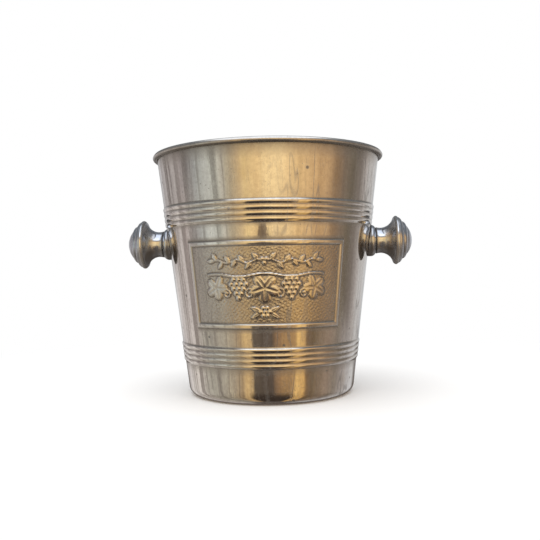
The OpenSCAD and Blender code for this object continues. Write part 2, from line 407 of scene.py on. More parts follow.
def vine_relief(s, z):
    """Three rows of ornament: a garland of small leaves, a vine with leaves and grapes, and a sprig."""
    relief = Relief(s, z)
    garland_z, vine_z, sprig_z = 113.6, 94.0, 74.2

    def stem_z(x):
        return garland_z + 1.2 * math.sin(x * 2 * math.pi / 17)

    for way in (-1, 1):
        relief.curve([(way * x, stem_z(x)) for x in np.linspace(3.2, 43.0, 27)], 0.8, 0.8)
        for k in range(7):
            x, up = 4.6 + 5.7 * k, (1, -1)[k % 2]
            relief.blade(way, x, stem_z(x) + 0.3 * up, 48 * up, 7.0, 2.0)
        relief.blade(way, 41.5, garland_z + 0.6, 0, 6.6, 1.9)
        cane = [(way * x, vine_z + 8.9 + 1.2 * math.cos(x * 2 * math.pi / 40)) for x in np.linspace(0, 47, 32)]
        relief.curve(cane, 1.0, 1.0)
        relief.bunch(way * 20.8, vine_z + 5.6, (3, 4, 3, 2, 1), 2.15, 4.1, 1.15)
        relief.tendril(way * 11.6, vine_z - 5.2, 3.9, way)
        relief.tendril(way * 30.3, vine_z - 5.4, 3.6, -way)
        relief.leaf(way * 39.4, vine_z - 0.6, 10.0, 1.05, way * -14)
        relief.blade(way, 3.4, sprig_z + 0.4, 26, 9.4, 2.1)
        relief.blade(way, 3.4, sprig_z - 0.6, -26, 9.4, 2.1)
    relief.bunch(0.0, garland_z + 1.6, (2, 1), 1.75, 3.3, 1.0)
    relief.leaf(0.0, vine_z - 0.8, 12.0, 1.1, 0)
    relief.bunch(0.0, sprig_z + 3.4, (2, 3, 2), 1.75, 3.4, 1.1)
    return relief


RIPPLES = ((1.3, 2.2, 0.4), (2.1, -1.5, 1.7), (-1.8, 1.9, 3.0), (2.9, 0.9, 5.1), (0.6, -3.0, 2.2))


def hammered(s, z):
    """Fine pebbled field from -1 to 1: crossed ripples, each (waves across, waves up, phase)."""
    total = np.zeros_like(s)
    for k, (across, up, phase) in enumerate(RIPPLES):
        total += np.sin(across * s + up * z + phase + 0.9 * np.sin(0.31 * s * (k + 1) + 0.23 * z))
    return total / len(RIPPLES)


WAVES = ((3, 9, 0.4, 0.10), (7, 14, 2.1, 0.075), (11, -21, 4.0, 0.050), (17, 12, 1.2, 0.032),
         (26, 31, 5.3, 0.017), (41, -18, 0.7, 0.009))


def waviness(angle, z):
    """Unevenness of the spun wall, in metres: waves, each (number round, number up, phase, height in mm)."""
    total = np.zeros_like(angle)
    for n, k, phase, size in WAVES:
        total += size * MM * np.sin(n * angle + phase) * (0.75 + 0.25 * np.sin(k * z / 0.1 + phase * 2))
    return total


def rib_hollows(wall, z):
    """How deep in a hollow between two ribs, or at the foot of a band, a height is."""
    b = wall.bands
    total = np.zeros_like(z)
    for middle, pitch in ((b.upper_z, b.upper_pitch), (b.lower_z, b.lower_pitch)):
        for k in range(b.ribs + 1):
            total += bell(z, middle + (k - b.ribs / 2) * pitch - 0.25 * MM, 0.62 * MM)
    return total


def shape_body(piece, wall):
    """Stamps the panel, makes the wall slightly uneven, and marks hollows, painted shade under the rim and
    round the panel's frame, vine and collars, matte ground, worn crests and a painted highlight on the rim.
    """
    co = places(piece)
    panel, size, curl_z = wall.panel, wall.size, wall.curl_z
    angle = np.arctan2(co[:, 0], -co[:, 1])
    out, z = np.hypot(co[:, 0], co[:, 1]), co[:, 2]
    base = wall.radius(z) + wall.swell(z)
    on_wall = (z > size.corner) & (z < curl_z - 3.5 * MM)
    outer = on_wall & (out > base - size.sheet / 2)
    inner = on_wall & ~outer
    s_mm, z_mm = angle * wall.radius(z) / MM, z / MM

    side = (panel.angle / 2 - np.abs(angle)) * wall.radius((panel.bottom + panel.top) / 2)
    edge = np.minimum(side, np.minimum(panel.top - z, z - panel.bottom))
    across = np.clip(edge / panel.frame_width, 0, 1)
    flank = np.clip(np.minimum(across, 1 - across) * panel.frame_width / FRAME_FLANK, 0, 1)
    bead = panel.frame_height * (0.88 * flank + 0.12 * np.sin(math.pi * across)) * (edge > 0)
    field = smooth(edge, panel.frame_width, panel.frame_width + 1.2 * MM)
    vine = vine_relief(s_mm, z_mm)
    raised = np.clip(vine.height, 0, 1.2) * field
    pebbles = 0.19 * MM * hammered(s_mm, z_mm) * field * (raised < 0.02)
    stamped = bead + raised * panel.relief_height / VINE_TOP + pebbles

    near_handle = np.hypot(co[:, 1], z - wall.axis_z)
    calm = smooth(z, size.corner, 25 * MM) * (1 - smooth(z, curl_z - 22 * MM, curl_z - 5 * MM))
    calm *= 0.15 + 0.85 * smooth(near_handle, 12 * MM, 30 * MM)
    push = outer * stamped + inner * 0.85 * bead
    push += waviness(angle, z) * calm * (1 - 0.6 * field * (edge > 0)) * on_wall
    lean = math.radians(wall.lean)
    new = co.copy()
    new[:, 0] += np.sin(angle) * push * math.cos(lean)
    new[:, 1] -= np.cos(angle) * push * math.cos(lean)
    new[:, 2] -= push * math.sin(lean) * (np.abs(push) > 0.1 * MM)
    move_points(piece, new)

    # Painted shade: dark lines at both feet of the frame, round the vine and in a ring round each collar.
    # Darker too in the grooves between the ribs and in spots among the pebbles.
    frame_foot_shade = bell(edge, 0, 0.75 * MM) + bell(edge, panel.frame_width, 0.7 * MM)
    outline = bell(vine.gap, 0, 0.9) * (vine.height < 0.25) * field
    pits = smooth(hammered(s_mm * 0.8 + 3.0, z_mm * 0.8), 0.30, 0.65) * field * (vine.height < 0.05)
    collar_shade = bell(near_handle, 14.6 * MM, 0.9 * MM)
    grime_and_shade = 0.60 * rib_hollows(wall, z) + 0.85 * frame_foot_shade + 0.95 * outline + 0.45 * pits + 0.8 * collar_shade
    grime_and_shade *= outer
    # Painted shade under the rolled rim: on the wall behind it, on its lower half and under its bead.
    shade_behind_curl = (out < size.rim_radius - 2.2 * MM) & (out > base - 0.3 * MM) & (z < curl_z + 0.5 * MM)
    grime_and_shade += shade_behind_curl * smooth(z, curl_z - 6 * MM, curl_z - 2 * MM)
    shade_on_curl = (out > wall.curl_r) & (z > curl_z - size.bead)
    grime_and_shade += 0.42 * shade_on_curl * (1 - smooth(z, curl_z - 0.1 * size.bead, curl_z + 0.45 * size.bead))
    shade_under_curl = (out > base + 0.1 * MM) & (z < curl_z - 0.55 * size.bead) & (z > curl_z - 1.5 * size.bead)
    paint(piece, "grime_and_shade", grime_and_shade + shade_under_curl)
    paint(piece, "matte", outer * field * (1 - 0.75 * smooth(vine.height, 0.3, 0.8)) + 0.55 * inner)
    # Crests rubbed bright by wear, and the rim's upper half made lighter as a painted highlight.
    crest = smooth(raised, 0.55, 0.95) + smooth(bead, 0.7 * panel.frame_height, panel.frame_height)
    crest += smooth(wall.swell(z), 0.85 * wall.bands.rib_height, wall.bands.rib_height)
    paint(piece, "rubbed_and_highlight", outer * crest + (z > curl_z + 1 * MM))


# ---------------- the handles' shape

def lip_place(h):
    """Distance from the bucket's axis to the lip where a knob's dome starts."""
    return h.reach - h.edge_depth + 0.7 * h.edge_radius


def spool_outline(scene, wall):
    """Neck, collar and flared head as (distance from the bucket's axis, radius)."""
    h = scene.bucket_handles
    seat = wall.radius(h.axis_z)
    cove_x, cove_y = seat + 10 * MM, h.neck_radius + h.cove_radius
    edge_x, lip_x = h.reach - h.edge_depth, lip_place(h)
    flare = math.degrees(math.asin((cove_y - h.head_radius + h.edge_radius * 0.8) / h.cove_radius))
    floor_x, bore_end = h.reach - 17 * MM, seat + 17 * MM
    points = [(bore_end, 0.0), (bore_end, h.bore_radius)]
    points += [(seat, r) for r in np.linspace(h.bore_radius, h.collar_radius - 0.3 * MM, 5)]
    points += arc(seat + 1.6 * MM, h.collar_radius - h.collar_swell, h.collar_swell, 100, 25, 12)
    points += [(seat + GROOVE_PLACE, 10.8 * MM)]
    points += arc(cove_x, cove_y, h.cove_radius, 252, 360 - flare, 26)
    points += arc(edge_x, h.head_radius - h.edge_radius, h.edge_radius, 128, 45, 9)
    points += [(lip_x, h.head_radius - 2 * MM), (lip_x - 1.2 * MM, h.head_radius - 2.4 * MM),
               (floor_x, 11 * MM), (floor_x, 0.0)]
    return points


def cap_outline(scene):
    """Stepped dome with two rounded rings and a button, closed at the back round a hollow."""
    h = scene.bucket_handles
    lip_x = lip_place(h)
    back_x, back_r = lip_x - 1.1 * MM, h.head_radius - 2.5 * MM
    button_x = h.reach - h.button_height
    start = (lip_x + 0.1 * MM, h.head_radius - 0.9 * MM)
    run = ((button_x - start[0]) / 2, (h.button_radius - start[1]) / 2)
    tilt = math.atan2(run[1], run[0])
    points = [(button_x, 0.0), (button_x, h.button_radius - 2 * h.shell), (back_x + 1 * MM, back_r - h.shell),
              (back_x, back_r - h.shell), (back_x, back_r), (lip_x + 0.05 * MM, h.head_radius - 2.1 * MM)]
    for ring in range(2):
        for k in range(12):
            t = k / 11
            bulge = 0.72 * MM * math.sin(math.pi * t) ** 0.8
            x, r = start[0] + run[0] * (ring + t * 0.93), start[1] + run[1] * (ring + t * 0.93)
            points.append((x - bulge * math.sin(tilt), r + bulge * math.cos(tilt)))
    ball = (h.button_radius ** 2 + h.button_height ** 2) / (2 * h.button_height)
    first = math.degrees(math.asin((h.button_radius - 0.35 * MM) / ball))
    points += arc(h.reach - ball, 0.0, ball, first, 0, 14)
    return points


def turned_piece(scene, name, outline, side):
    """Turns an outline about the handle's axis, on the right (side 1) or the left (side -1)."""
    z = scene.bucket_handles.axis_z
    piece = draw_outline(name, [(side * x, 0.0, z + r) for x, r in outline])
    return spin_outline(piece, (0, 0, z), (1, 0, 0), [(2 * math.pi, 96)])


def seat_on_wall(piece, scene, wall, side):
    """Moves the foot of a spool on to the gasket, so that it follows the round, sloping wall."""
    h = scene.bucket_handles
    seat = wall.radius(h.axis_z)
    co = places(piece)
    radius = np.hypot(co[:, 1], co[:, 2] - h.axis_z)
    foot = np.sqrt(np.maximum((wall.radius(co[:, 2]) + h.gasket) ** 2 - co[:, 1] ** 2, 0))
    x = np.abs(co[:, 0])
    keep = (x < seat + 0.9 * MM) | ((radius > h.bore_radius * 1.2) & (x < foot))
    co[:, 0] = np.where(keep & (x < seat + 5 * MM), side * foot, co[:, 0])
    move_points(piece, co)


def mark_handle(piece, seat, h):
    """Grime at the foot, beside the collar and between the rings, painted shade on the undersides and a painted
    dark reflection on the flare, and bright metal on the widest edge.
    """
    co = places(piece)
    x = np.abs(co[:, 0])
    r = np.hypot(co[:, 1], co[:, 2] - h.axis_z)
    lip, button = lip_place(h), h.reach - h.button_height
    hollows = ((seat + 0.6 * MM, 1.3, 1.1), (seat + GROOVE_PLACE, 0.5, 0.8), (lip, 0.35, 0.7),
               ((lip + button) / 2, 0.35, 0.7), (button, 0.35, 0.7))
    grime_and_shade = sum(much * bell(x, place, width * MM) for place, width, much in hollows)
    normals = np.empty(len(co) * 3)
    piece.data.vertices.foreach_get("normal", normals)
    facing_up = normals.reshape(-1, 3)[:, 2]
    # Painted dark reflection over the flare.
    flare = smooth(x, seat + 11 * MM, lip - 3 * MM) * (1 - smooth(x, lip - 2 * MM, lip - 1 * MM))
    paint(piece, "matte", np.zeros_like(x))
    # Painted shade: each knob is darker wherever its surface faces down.
    paint(piece, "grime_and_shade", grime_and_shade + 0.80 * smooth(-facing_up, 0.02, 0.50) + 0.45 * flare)
    paint(piece, "rubbed_and_highlight", smooth(r, h.head_radius - 1.6 * MM, h.head_radius - 0.3 * MM) * 0.6)


# ---------------- shader groups

def new_group(name, inputs, outputs):
    """A node group with named sockets: inputs are (name, kind, default), outputs are names of values."""
    group = bpy.data.node_groups.new(name, "ShaderNodeTree")
    for socket, kind, default in inputs:
        made = group.interface.new_socket(socket, in_out="INPUT", socket_type="NodeSocket" + kind)
        if default is not None:
            made.default_value = default
    for socket in outputs:
        group.interface.new_socket(socket, in_out="OUTPUT", socket_type="NodeSocketFloat")
    n = Nodes(group)
    return group, n, n.add("NodeGroupInput").outputs, n.add("NodeGroupOutput").inputs


def opaque(tint):
    """A socket as it is, or a colour with full opacity."""
    return tint if isinstance(tint, bpy.types.NodeSocket) else (*tuple(tint)[:3], 1)


class Nodes:
    """Short calls for laying out a node tree."""

    def __init__(self, tree):
        self.tree = tree

    def add(self, kind, **values):
        node = self.tree.nodes.new("ShaderNode" + kind if not kind.startswith("NodeGroup") else kind)
        for key, value in values.items():
            setattr(node, key, value)
        return node

    def put(self, socket, value):
        if isinstance(value, bpy.types.NodeSocket):
            self.tree.links.new(value, socket)
        elif value is not None:
            socket.default_value = value

    def maths(self, operation, a, b=None, c=None, clamp=False):
        node = self.add("Math", operation=operation, use_clamp=clamp)
        for socket, value in zip(node.inputs, (a, b, c)):
            self.put(socket, value)
        return node.outputs[0]

    def times(self, a, b):
        return self.maths("MULTIPLY", a, b)

    def minus(self, a, b):
        return self.maths("SUBTRACT", a, b)

    def apart(self, a, b):
        return self.maths("ABSOLUTE", self.minus(a, b))

    def most(self, pairs):
        """The largest of some values, each times its strength."""
        best = None
        for value, strength in pairs:
            value = self.times(value, strength)
            best = value if best is None else self.maths("MAXIMUM", best, value)
        return best

    def total(self, start, pairs):
        """A start with some values added to it, each times its strength, kept between 0 and 1."""
        for value, strength in pairs:
            start = self.maths("MULTIPLY_ADD", value, strength, start, clamp=True)
        return start

    def scaled(self, vector, by):
        node = self.add("VectorMath", operation="MULTIPLY")
        self.put(node.inputs[0], vector)
        self.put(node.inputs[1], by)
        return node.outputs[0]

    def noise(self, vector, scale, detail=3.0, roughness=0.55):
        node = self.add("TexNoise")
        for name, value in (("Vector", vector), ("Scale", scale), ("Detail", detail), ("Roughness", roughness)):
            self.put(node.inputs[name], value)
        return node.outputs["Fac"]

    def band(self, value, low, high, out_low=0.0, out_high=1.0):
        node = self.add("MapRange", interpolation_type="SMOOTHSTEP")
        for socket, given in zip(node.inputs, (value, low, high, out_low, out_high)):
            self.put(socket, given)
        return node.outputs[0]

    def fall(self, value, low, high):
        """From 1 at the low value to 0 at the high one."""
        return self.band(value, low, high, 1.0, 0.0)

    def mix(self, factor, a, b, blend="MIX"):
        node = self.add("Mix", data_type="RGBA", blend_type=blend)
        self.put(node.inputs["Factor"], factor)
        self.put(node.inputs[6], opaque(a))
        self.put(node.inputs[7], opaque(b))
        return node.outputs[2]

    def ramp(self, factor, stops):
        node = self.add("ValToRGB")
        elements = node.color_ramp.elements
        elements[0].position, elements[0].color = stops[0][0], opaque(stops[0][1])
        elements[1].position, elements[1].color = stops[-1][0], opaque(stops[-1][1])
        for position, tint in stops[1:-1]:
            elements.new(position).color = opaque(tint)
        self.put(node.inputs[0], factor)
        return node.outputs[0]

    def group(self, tree, **values):
        node = self.add("Group")
        node.node_tree = tree
        for key, value in values.items():
            self.put(node.inputs[key], value)
        return node.outputs

    def attribute(self, name):
        return self.add("Attribute", attribute_name=name).outputs["Fac"]

    def bump(self, shader, height, strength, distance):
        node = self.add("Bump")
        node.inputs["Strength"].default_value = strength
        node.inputs["Distance"].default_value = distance
        self.put(node.inputs["Height"], height)
        self.put(shader.inputs["Normal"], node.outputs[0])


def hairlines_group():
    """Fine scratches: the level lines of a noise that is stretched one way."""
    group, n, given, result = new_group("Hairline scratches", [
        ("Vector", "Vector", None), ("Stretch", "Vector", (1, 1, 1)), ("Scale", "Float", 100.0),
        ("Width", "Float", 0.02), ("Cover", "Float", 0.5)], ["Mask", "Height"])
    where = n.scaled(given["Vector"], given["Stretch"])
    line = n.apart(n.noise(where, given["Scale"], 2.0, 0.6), 0.5)
    line = n.fall(n.maths("DIVIDE", line, given["Width"]), 0.0, 1.0)
    patches = n.noise(where, n.times(given["Scale"], 0.23), 1.0, 0.5)
    shown = n.band(patches, n.minus(0.94, given["Cover"]), n.minus(1.10, given["Cover"]))
    mask = n.times(line, shown)
    n.put(result["Mask"], mask)
    n.put(result["Height"], n.times(mask, -1.0))
    return group


def tarnish_group():
    """Warm film in soft clouds and vertical runs, thicker in hollows and where shade is painted."""
    group, n, given, result = new_group("Tarnish", [
        ("Vector", "Vector", None), ("Clouds", "Float", 22.0), ("Runs", "Float", 60.0),
        ("Hollow", "Float", 0.0), ("Cover", "Float", 0.5)], ["Mask", "Runs"])
    clouds = n.noise(given["Vector"], given["Clouds"], 4.0, 0.6)
    runs = n.noise(n.scaled(given["Vector"], (1.0, 1.0, 0.07)), given["Runs"], 4.0, 0.62)
    both = n.maths("MULTIPLY_ADD", runs, 0.45, n.times(clouds, 0.55))
    mask = n.band(both, n.minus(0.78, n.times(given["Cover"], 0.4)), 0.72)
    n.put(result["Mask"], n.maths("MAXIMUM", mask, given["Hollow"]))
    n.put(result["Runs"], n.band(runs, 0.38, 0.62))
    return group


def pits_group():
    """Small dark spots where the plate has been eaten through: few, round and of uneven size."""
    group, n, given, result = new_group("Pits", [
        ("Vector", "Vector", None), ("Scale", "Float", 300.0), ("Share", "Float", 0.1)], ["Mask", "Height"])
    cells, parts = n.add("TexVoronoi"), n.add("SeparateColor")
    n.put(cells.inputs["Vector"], given["Vector"])
    n.put(cells.inputs["Scale"], given["Scale"])
    n.put(parts.inputs[0], cells.outputs["Color"])
    chosen = n.maths("LESS_THAN", parts.outputs[0], given["Share"])
    size = n.maths("MULTIPLY_ADD", parts.outputs[1], 0.20, 0.10)
    spot = n.fall(n.maths("DIVIDE", cells.outputs["Distance"], size), 0.45, 1.0)
    mask = n.times(spot, chosen)
    n.put(result["Mask"], mask)
    n.put(result["Height"], n.times(mask, -1.0))
    return group


def shader_groups():
    made = {g.name: g for g in bpy.data.node_groups}
    return (made.get("Hairline scratches") or hairlines_group(), made.get("Tarnish") or tarnish_group(),
            made.get("Pits") or pits_group())


# ---------------- materials

def empty_tree(block):
    """The emptied node tree of a material or a world."""
    block.use_nodes = True
    block.node_tree.nodes.clear()
    return Nodes(block.node_tree)


def start_material(name):
    """An empty material with a Principled shader, and the piece's own coordinates."""
    material = bpy.data.materials.new(name)
    n = empty_tree(material)
    shader = n.add("BsdfPrincipled")
    n.put(n.add("OutputMaterial").inputs["Surface"], shader.outputs[0])
    return material, n, shader, n.add("TexCoord").outputs["Object"]


def silver_material(name, plate, colours, roughness, cover, wear=1.0, upright=True):
    """Worn silver plate on a piece with three attributes: dark oxide together with painted shade, matte ground,
    and wear together with a painted highlight. Scratches go up and down on upright pieces and round the axis on
    turned ones. Wear is the strength of all marks."""
    hairlines, tarnish, pits = shader_groups()
    material, n, shader, where = start_material(name)
    grime_and_shade, matte, rubbed_and_highlight = n.attribute("grime_and_shade"), n.attribute("matte"), n.attribute("rubbed_and_highlight")

    film = n.group(tarnish, Vector=where, Clouds=24.0, Runs=90.0, Cover=cover, Hollow=n.times(grime_and_shade, 0.9))
    long_way = (1.0, 1.0, 0.045) if upright else (0.06, 1.0, 1.0)
    fine, deep, stray = (
        n.group(hairlines, Vector=where, Stretch=stretch, Scale=scale, Width=width, Cover=share)
        for stretch, scale, width, share in (
            (long_way, 520.0, 0.06, 0.50), (long_way, 58.0, 0.022, 0.50),
            ((0.35, 0.35, 1.0), 70.0, 0.006, 0.42)))
    spots, specks, dust = (
        n.group(pits, Vector=where, Scale=scale, Share=share)
        for scale, share in ((150.0, 0.10), (430.0, 0.075), (900.0, 0.16)))
    mottle = n.band(n.noise(where, 330.0, 4.0, 0.75), 0.36, 0.66)
    marks = ((deep, 0.55), (spots, 0.75), (specks, 0.60), (dust, 0.55), (stray, 0.30), (fine, 0.16))
    marked = n.most([(mark["Mask"], strength) for mark, strength in marks])
    dark = n.most([(marked, wear), (grime_and_shade, 0.9)])

    # The dark mix lays in the marks, the dark oxide and the painted shade; the light mix at the end lays in
    # worn crests and the painted highlight on the rim.
    tint = plate
    for value, strength, over in (
            (film["Mask"], 0.50 * wear, colours.tarnish), (film["Runs"], 0.30 * wear, (0.50, 0.45, 0.42)),
            (mottle, 0.34 * wear, (0.52, 0.46, 0.44)), (matte, 0.40, (0.47, 0.40, 0.33)),
            (dark, 1.0, colours.grime_and_shade), (rubbed_and_highlight, 0.45, (0.93, 0.90, 0.85))):
        tint = n.mix(n.times(value, strength), tint, over)
    n.put(shader.inputs["Base Color"], tint)
    n.put(shader.inputs["Metallic"], n.minus(1.0, n.times(dark, 0.35)))

    smudge = n.band(n.noise(where, 38.0, 4.0, 0.6), 0.35, 0.7)
    soft = 0.03 * wear
    n.put(shader.inputs["Roughness"], n.total(roughness, [
        (smudge, soft), (film["Mask"], soft), (matte, 0.15), (fine["Mask"], soft), (dark, 0.22)]))

    relief = n.times(n.noise(where, 620.0, 4.0, 0.65), n.times(matte, 20.0))
    for mark, strength in ((fine, 0.35), (deep, 1.2), (stray, 1.0), (spots, 3.0)):
        relief = n.maths("MULTIPLY_ADD", mark["Height"], strength, relief)
    n.bump(shader, relief, 0.6 * wear, 0.00002)
    return material


def plain_metal_material(name, tint, roughness, cover):
    """Bare or nickel-plated metal of the hidden fittings, with scratches, dull patches and pits."""
    hairlines, tarnish, pits = shader_groups()
    material, n, shader, where = start_material(name)
    film = n.group(tarnish, Vector=where, Clouds=160.0, Runs=300.0, Cover=cover, Hollow=0.0)
    lines = n.group(hairlines, Vector=where, Stretch=(0.15, 1.0, 1.0), Scale=900.0, Width=0.03, Cover=0.6)
    spots = n.group(pits, Vector=where, Scale=700.0, Share=0.08)
    shade = n.mix(n.times(film["Mask"], 0.6), tint, [c * 0.45 for c in tint])
    n.put(shader.inputs["Base Color"], n.mix(n.times(spots["Mask"], 0.7), shade, (0.05, 0.04, 0.03)))
    shader.inputs["Metallic"].default_value = 1.0
    n.put(shader.inputs["Roughness"], n.total(roughness, [(film["Mask"], 0.25), (lines["Mask"], 0.12)]))
    n.bump(shader, n.maths("ADD", lines["Height"], spots["Height"]), 0.5, 0.00002)
    return material


def soft_material(name, tint, roughness, grain):
    """Fibre or rubber of a gasket: mottled, with a fine grain and dust in it."""
    tarnish = shader_groups()[1]
    material, n, shader, where = start_material(name)
    dust = n.group(tarnish, Vector=where, Clouds=240.0, Runs=400.0, Cover=0.5, Hollow=0.0)
    fleck = n.noise(where, grain, 4.0, 0.65)
    shade = n.mix(n.band(fleck, 0.35, 0.7), tint, [c * 1.9 + 0.01 for c in tint])
    n.put(shader.inputs["Base Color"], n.mix(n.times(dust["Mask"], 0.35), shade, (0.20, 0.18, 0.15)))
    n.put(shader.inputs["Roughness"], n.total(roughness, [(fleck, 0.2)]))
    n.bump(shader, fleck, 0.6, 0.00005)
    return material


# ---------------- stage

def by_angle(stops):
    """Stops of a ramp that goes once round, from (angle in degrees, red, green, blue in hundredths): 0 is the
    camera's side and 90 is to the right."""
    return [((angle + 180) / 360, [part / 100 for part in tint]) for angle, *tint in stops]


ROOM = by_angle([
    (-180, 67, 69, 72), (-163, 60, 61, 63), (-146, 53, 51, 52), (-124, 46, 43, 43), (-112, 52, 49, 49),
    (-103, 46, 42, 42), (-97, 40, 37, 37), (-88, 33, 32, 32), (-78, 34, 35, 35), (-72, 42, 44, 43),
    (-62, 53, 55, 52), (-54, 57, 59, 53), (-46, 59, 56, 48), (-40, 54, 48, 36), (-33, 62, 50, 32),
    (-27, 77, 58, 33), (-22, 91, 68, 34), (-8, 90, 64, 32), (-1, 101, 75, 39), (12, 108, 81, 43),
    (24, 100, 72, 37), (31, 86, 59, 29), (46, 80, 54, 27), (56, 68, 44, 22), (70, 56, 37, 20),
    (77, 36, 24, 14), (86, 25, 19, 14), (100, 19, 16, 12), (114, 24, 21, 19), (126, 46, 43, 42),
    (134, 57, 56, 56), (180, 67, 69, 72)])

TABLE = by_angle([
    (-180, 72, 73, 76), (-160, 62, 60, 60), (-126, 60, 58, 57), (-108, 57, 54, 52), (-98, 42, 40, 37),
    (-86, 36, 35, 31), (-72, 35, 33, 29), (-62, 42, 39, 32), (-50, 49, 42, 31), (-40, 52, 39, 24),
    (-32, 70, 49, 24), (-23, 68, 48, 24), (-20, 15, 12, 9), (4, 13, 10, 8), (7, 26, 17, 10),
    (11, 36, 22, 12), (18, 42, 26, 12), (31, 45, 28, 13), (35, 86, 56, 22), (48, 80, 50, 19),
    (51, 25, 16, 9), (60, 21, 15, 9), (72, 32, 24, 17), (82, 34, 26, 20), (96, 28, 24, 20),
    (108, 38, 34, 32), (124, 56, 55, 56), (150, 68, 69, 72), (180, 72, 73, 76)])


def studio_colours(n, direction):
    """What the metal mirrors in a direction: streaked colours round the room, a dark peak low in front, a dark
    table, cream and steel higher up and a soft box overhead."""
    parts, along = n.add("SeparateXYZ"), n.add("CombineXYZ")
    n.put(parts.inputs[0], direction)
    side, depth, up = parts.outputs
    turned = n.maths("ARCTAN2", side, n.times(depth, -1.0))
    angle = n.maths("MULTIPLY_ADD", turned, 0.5 / math.pi, 0.5)
    shifted = n.maths("ADD", angle, n.maths("MULTIPLY_ADD", n.noise(direction, 5.0, 4.0, 0.6), 0.026, -0.013))
    n.put(along.inputs[0], n.times(shifted, 95.0))
    n.put(along.inputs[2], n.times(up, 1.5))
    streak = n.band(n.noise(along.outputs[0], 1.0, 3.0, 0.7), 0.30, 0.70, 0.92, 1.12)
    walls = n.mix(n.band(up, -0.27, -0.18), n.ramp(shifted, TABLE), n.ramp(shifted, ROOM))
    walls = n.mix(1.0, walls, streak, "MULTIPLY")
    seams = n.fall(n.apart(n.noise(along.outputs[0], 0.21, 1.0, 0.5), 0.5), 0.012, 0.050)
    seams = n.times(seams, n.noise(direction, 3.0, 2.0, 0.5))
    seams = n.times(seams, n.fall(angle, 0.37, 0.42))
    walls = n.mix(seams, walls, (0.10, 0.08, 0.07))
    left = n.times(n.fall(angle, 0.30, 0.37), n.fall(up, -0.10, -0.01))
    walls = n.mix(left, walls, (1.28, 1.27, 1.25), "MULTIPLY")

    half = n.band(up, -0.30, -0.13, 0.048, -0.002)
    ragged = n.maths("MULTIPLY_ADD", n.noise(direction, 16.0, 4.0, 0.6), 0.024, -0.012)
    off = n.maths("ABSOLUTE", n.maths("ADD", n.minus(angle, 0.488), ragged))
    peak = n.fall(n.minus(off, half), -0.003, 0.003)
    peak = n.times(peak, n.band(up, -0.26, -0.22, 0.0, 0.85))
    walls = n.mix(peak, walls, (0.12, 0.085, 0.07))
    ahead = n.fall(n.apart(angle, 0.508), 0.070, 0.092)
    behind = n.band(n.apart(angle, 0.5), 0.40, 0.44)
    shade = n.mix(ahead, n.mix(1.0, walls, (0.74, 0.72, 0.70), "MULTIPLY"), (0.050, 0.036, 0.028))
    back_edge = n.times(behind, n.fall(up, -0.22, -0.08))
    low = n.mix(n.band(up, -0.52, -0.38), shade, walls)
    low = n.mix(back_edge, low, (0.14, 0.115, 0.10))
    low = n.mix(n.band(up, -0.985, -0.94), (0.12, 0.10, 0.09), low)

    front = n.fall(n.apart(angle, 0.5), 0.14, 0.22)
    cream = n.mix(n.band(up, 0.08, 0.20), low, (1.20, 1.12, 1.02), "MULTIPLY")
    brown = n.mix(n.band(up, 0.36, 0.46), cream, (0.36, 0.30, 0.25))
    dusk = n.mix(n.band(up, 0.12, 0.34), low, (0.17, 0.175, 0.18))
    steel = n.mix(n.band(up, 0.52, 0.64), n.mix(front, dusk, brown), (0.19, 0.205, 0.22))
    box = n.times(n.band(up, 0.54, 0.64), n.band(depth, 0.40, 0.05))
    box = n.times(box, n.band(n.maths("ABSOLUTE", side), 0.64, 0.40))
    glow = n.mix(n.band(up, 0.70, 0.98), (1.60, 1.66, 1.74), (1.05, 1.12, 1.24))
    return n.mix(box, steel, glow)


def build_world(scene):
    """White behind the bucket, and for the metal to mirror a studio that is warm in front."""
    world = bpy.data.worlds.new("soft_studio")
    scene.world = world
    n = empty_tree(world)
    mirrored = studio_colours(n, n.add("TexCoord").outputs["Generated"])
    rays = n.add("LightPath").outputs
    seen = n.mix(rays["Is Diffuse Ray"], mirrored, (0.97, 0.97, 0.97))
    seen = n.mix(rays["Is Camera Ray"], seen, (1.0, 1.0, 1.0))
    back = n.add("Background")
    n.put(back.inputs["Color"], seen)
    n.put(n.add("OutputWorld").inputs["Surface"], back.outputs[0])


def floor_material(tint):
    """Pale matte floor that fades to white far away."""
    material = bpy.data.materials.new("pale_floor")
    n = empty_tree(material)
    where = n.add("TexCoord").outputs["Object"]
    reach = n.add("VectorMath", operation="LENGTH")
    n.put(reach.inputs[0], where)
    pale, white, faded = n.add("BsdfDiffuse"), n.add("Emission"), n.add("MixShader")
    n.put(pale.inputs["Color"], n.mix(n.noise(where, 3.0), tint, [c * 0.985 for c in tint]))
    white.inputs["Color"].default_value = (1.0, 1.0, 1.0, 1)
    n.put(faded.inputs[0], n.band(reach.outputs["Value"], 0.10, 0.45))
    n.put(faded.inputs[1], pale.outputs[0])
    n.put(faded.inputs[2], white.outputs[0])
    n.put(n.add("OutputMaterial").inputs["Surface"], faded.outputs[0])
    return material


def add_softbox(name, place, target, size, power, tint):
    light = bpy.data.lights.new(name, "AREA")
    light.shape, light.size, light.size_y = "RECTANGLE", size[0], size[1]
    light.energy, light.color = power, tint
    lamp = bpy.data.objects.new(name, light)
    bpy.context.scene.collection.objects.link(lamp)
    lamp.location = place
    lamp.visible_glossy = False
    lamp.rotation_mode = "QUATERNION"
    lamp.rotation_quaternion = (Vector(target) - Vector(place)).to_track_quat("-Z", "Y")


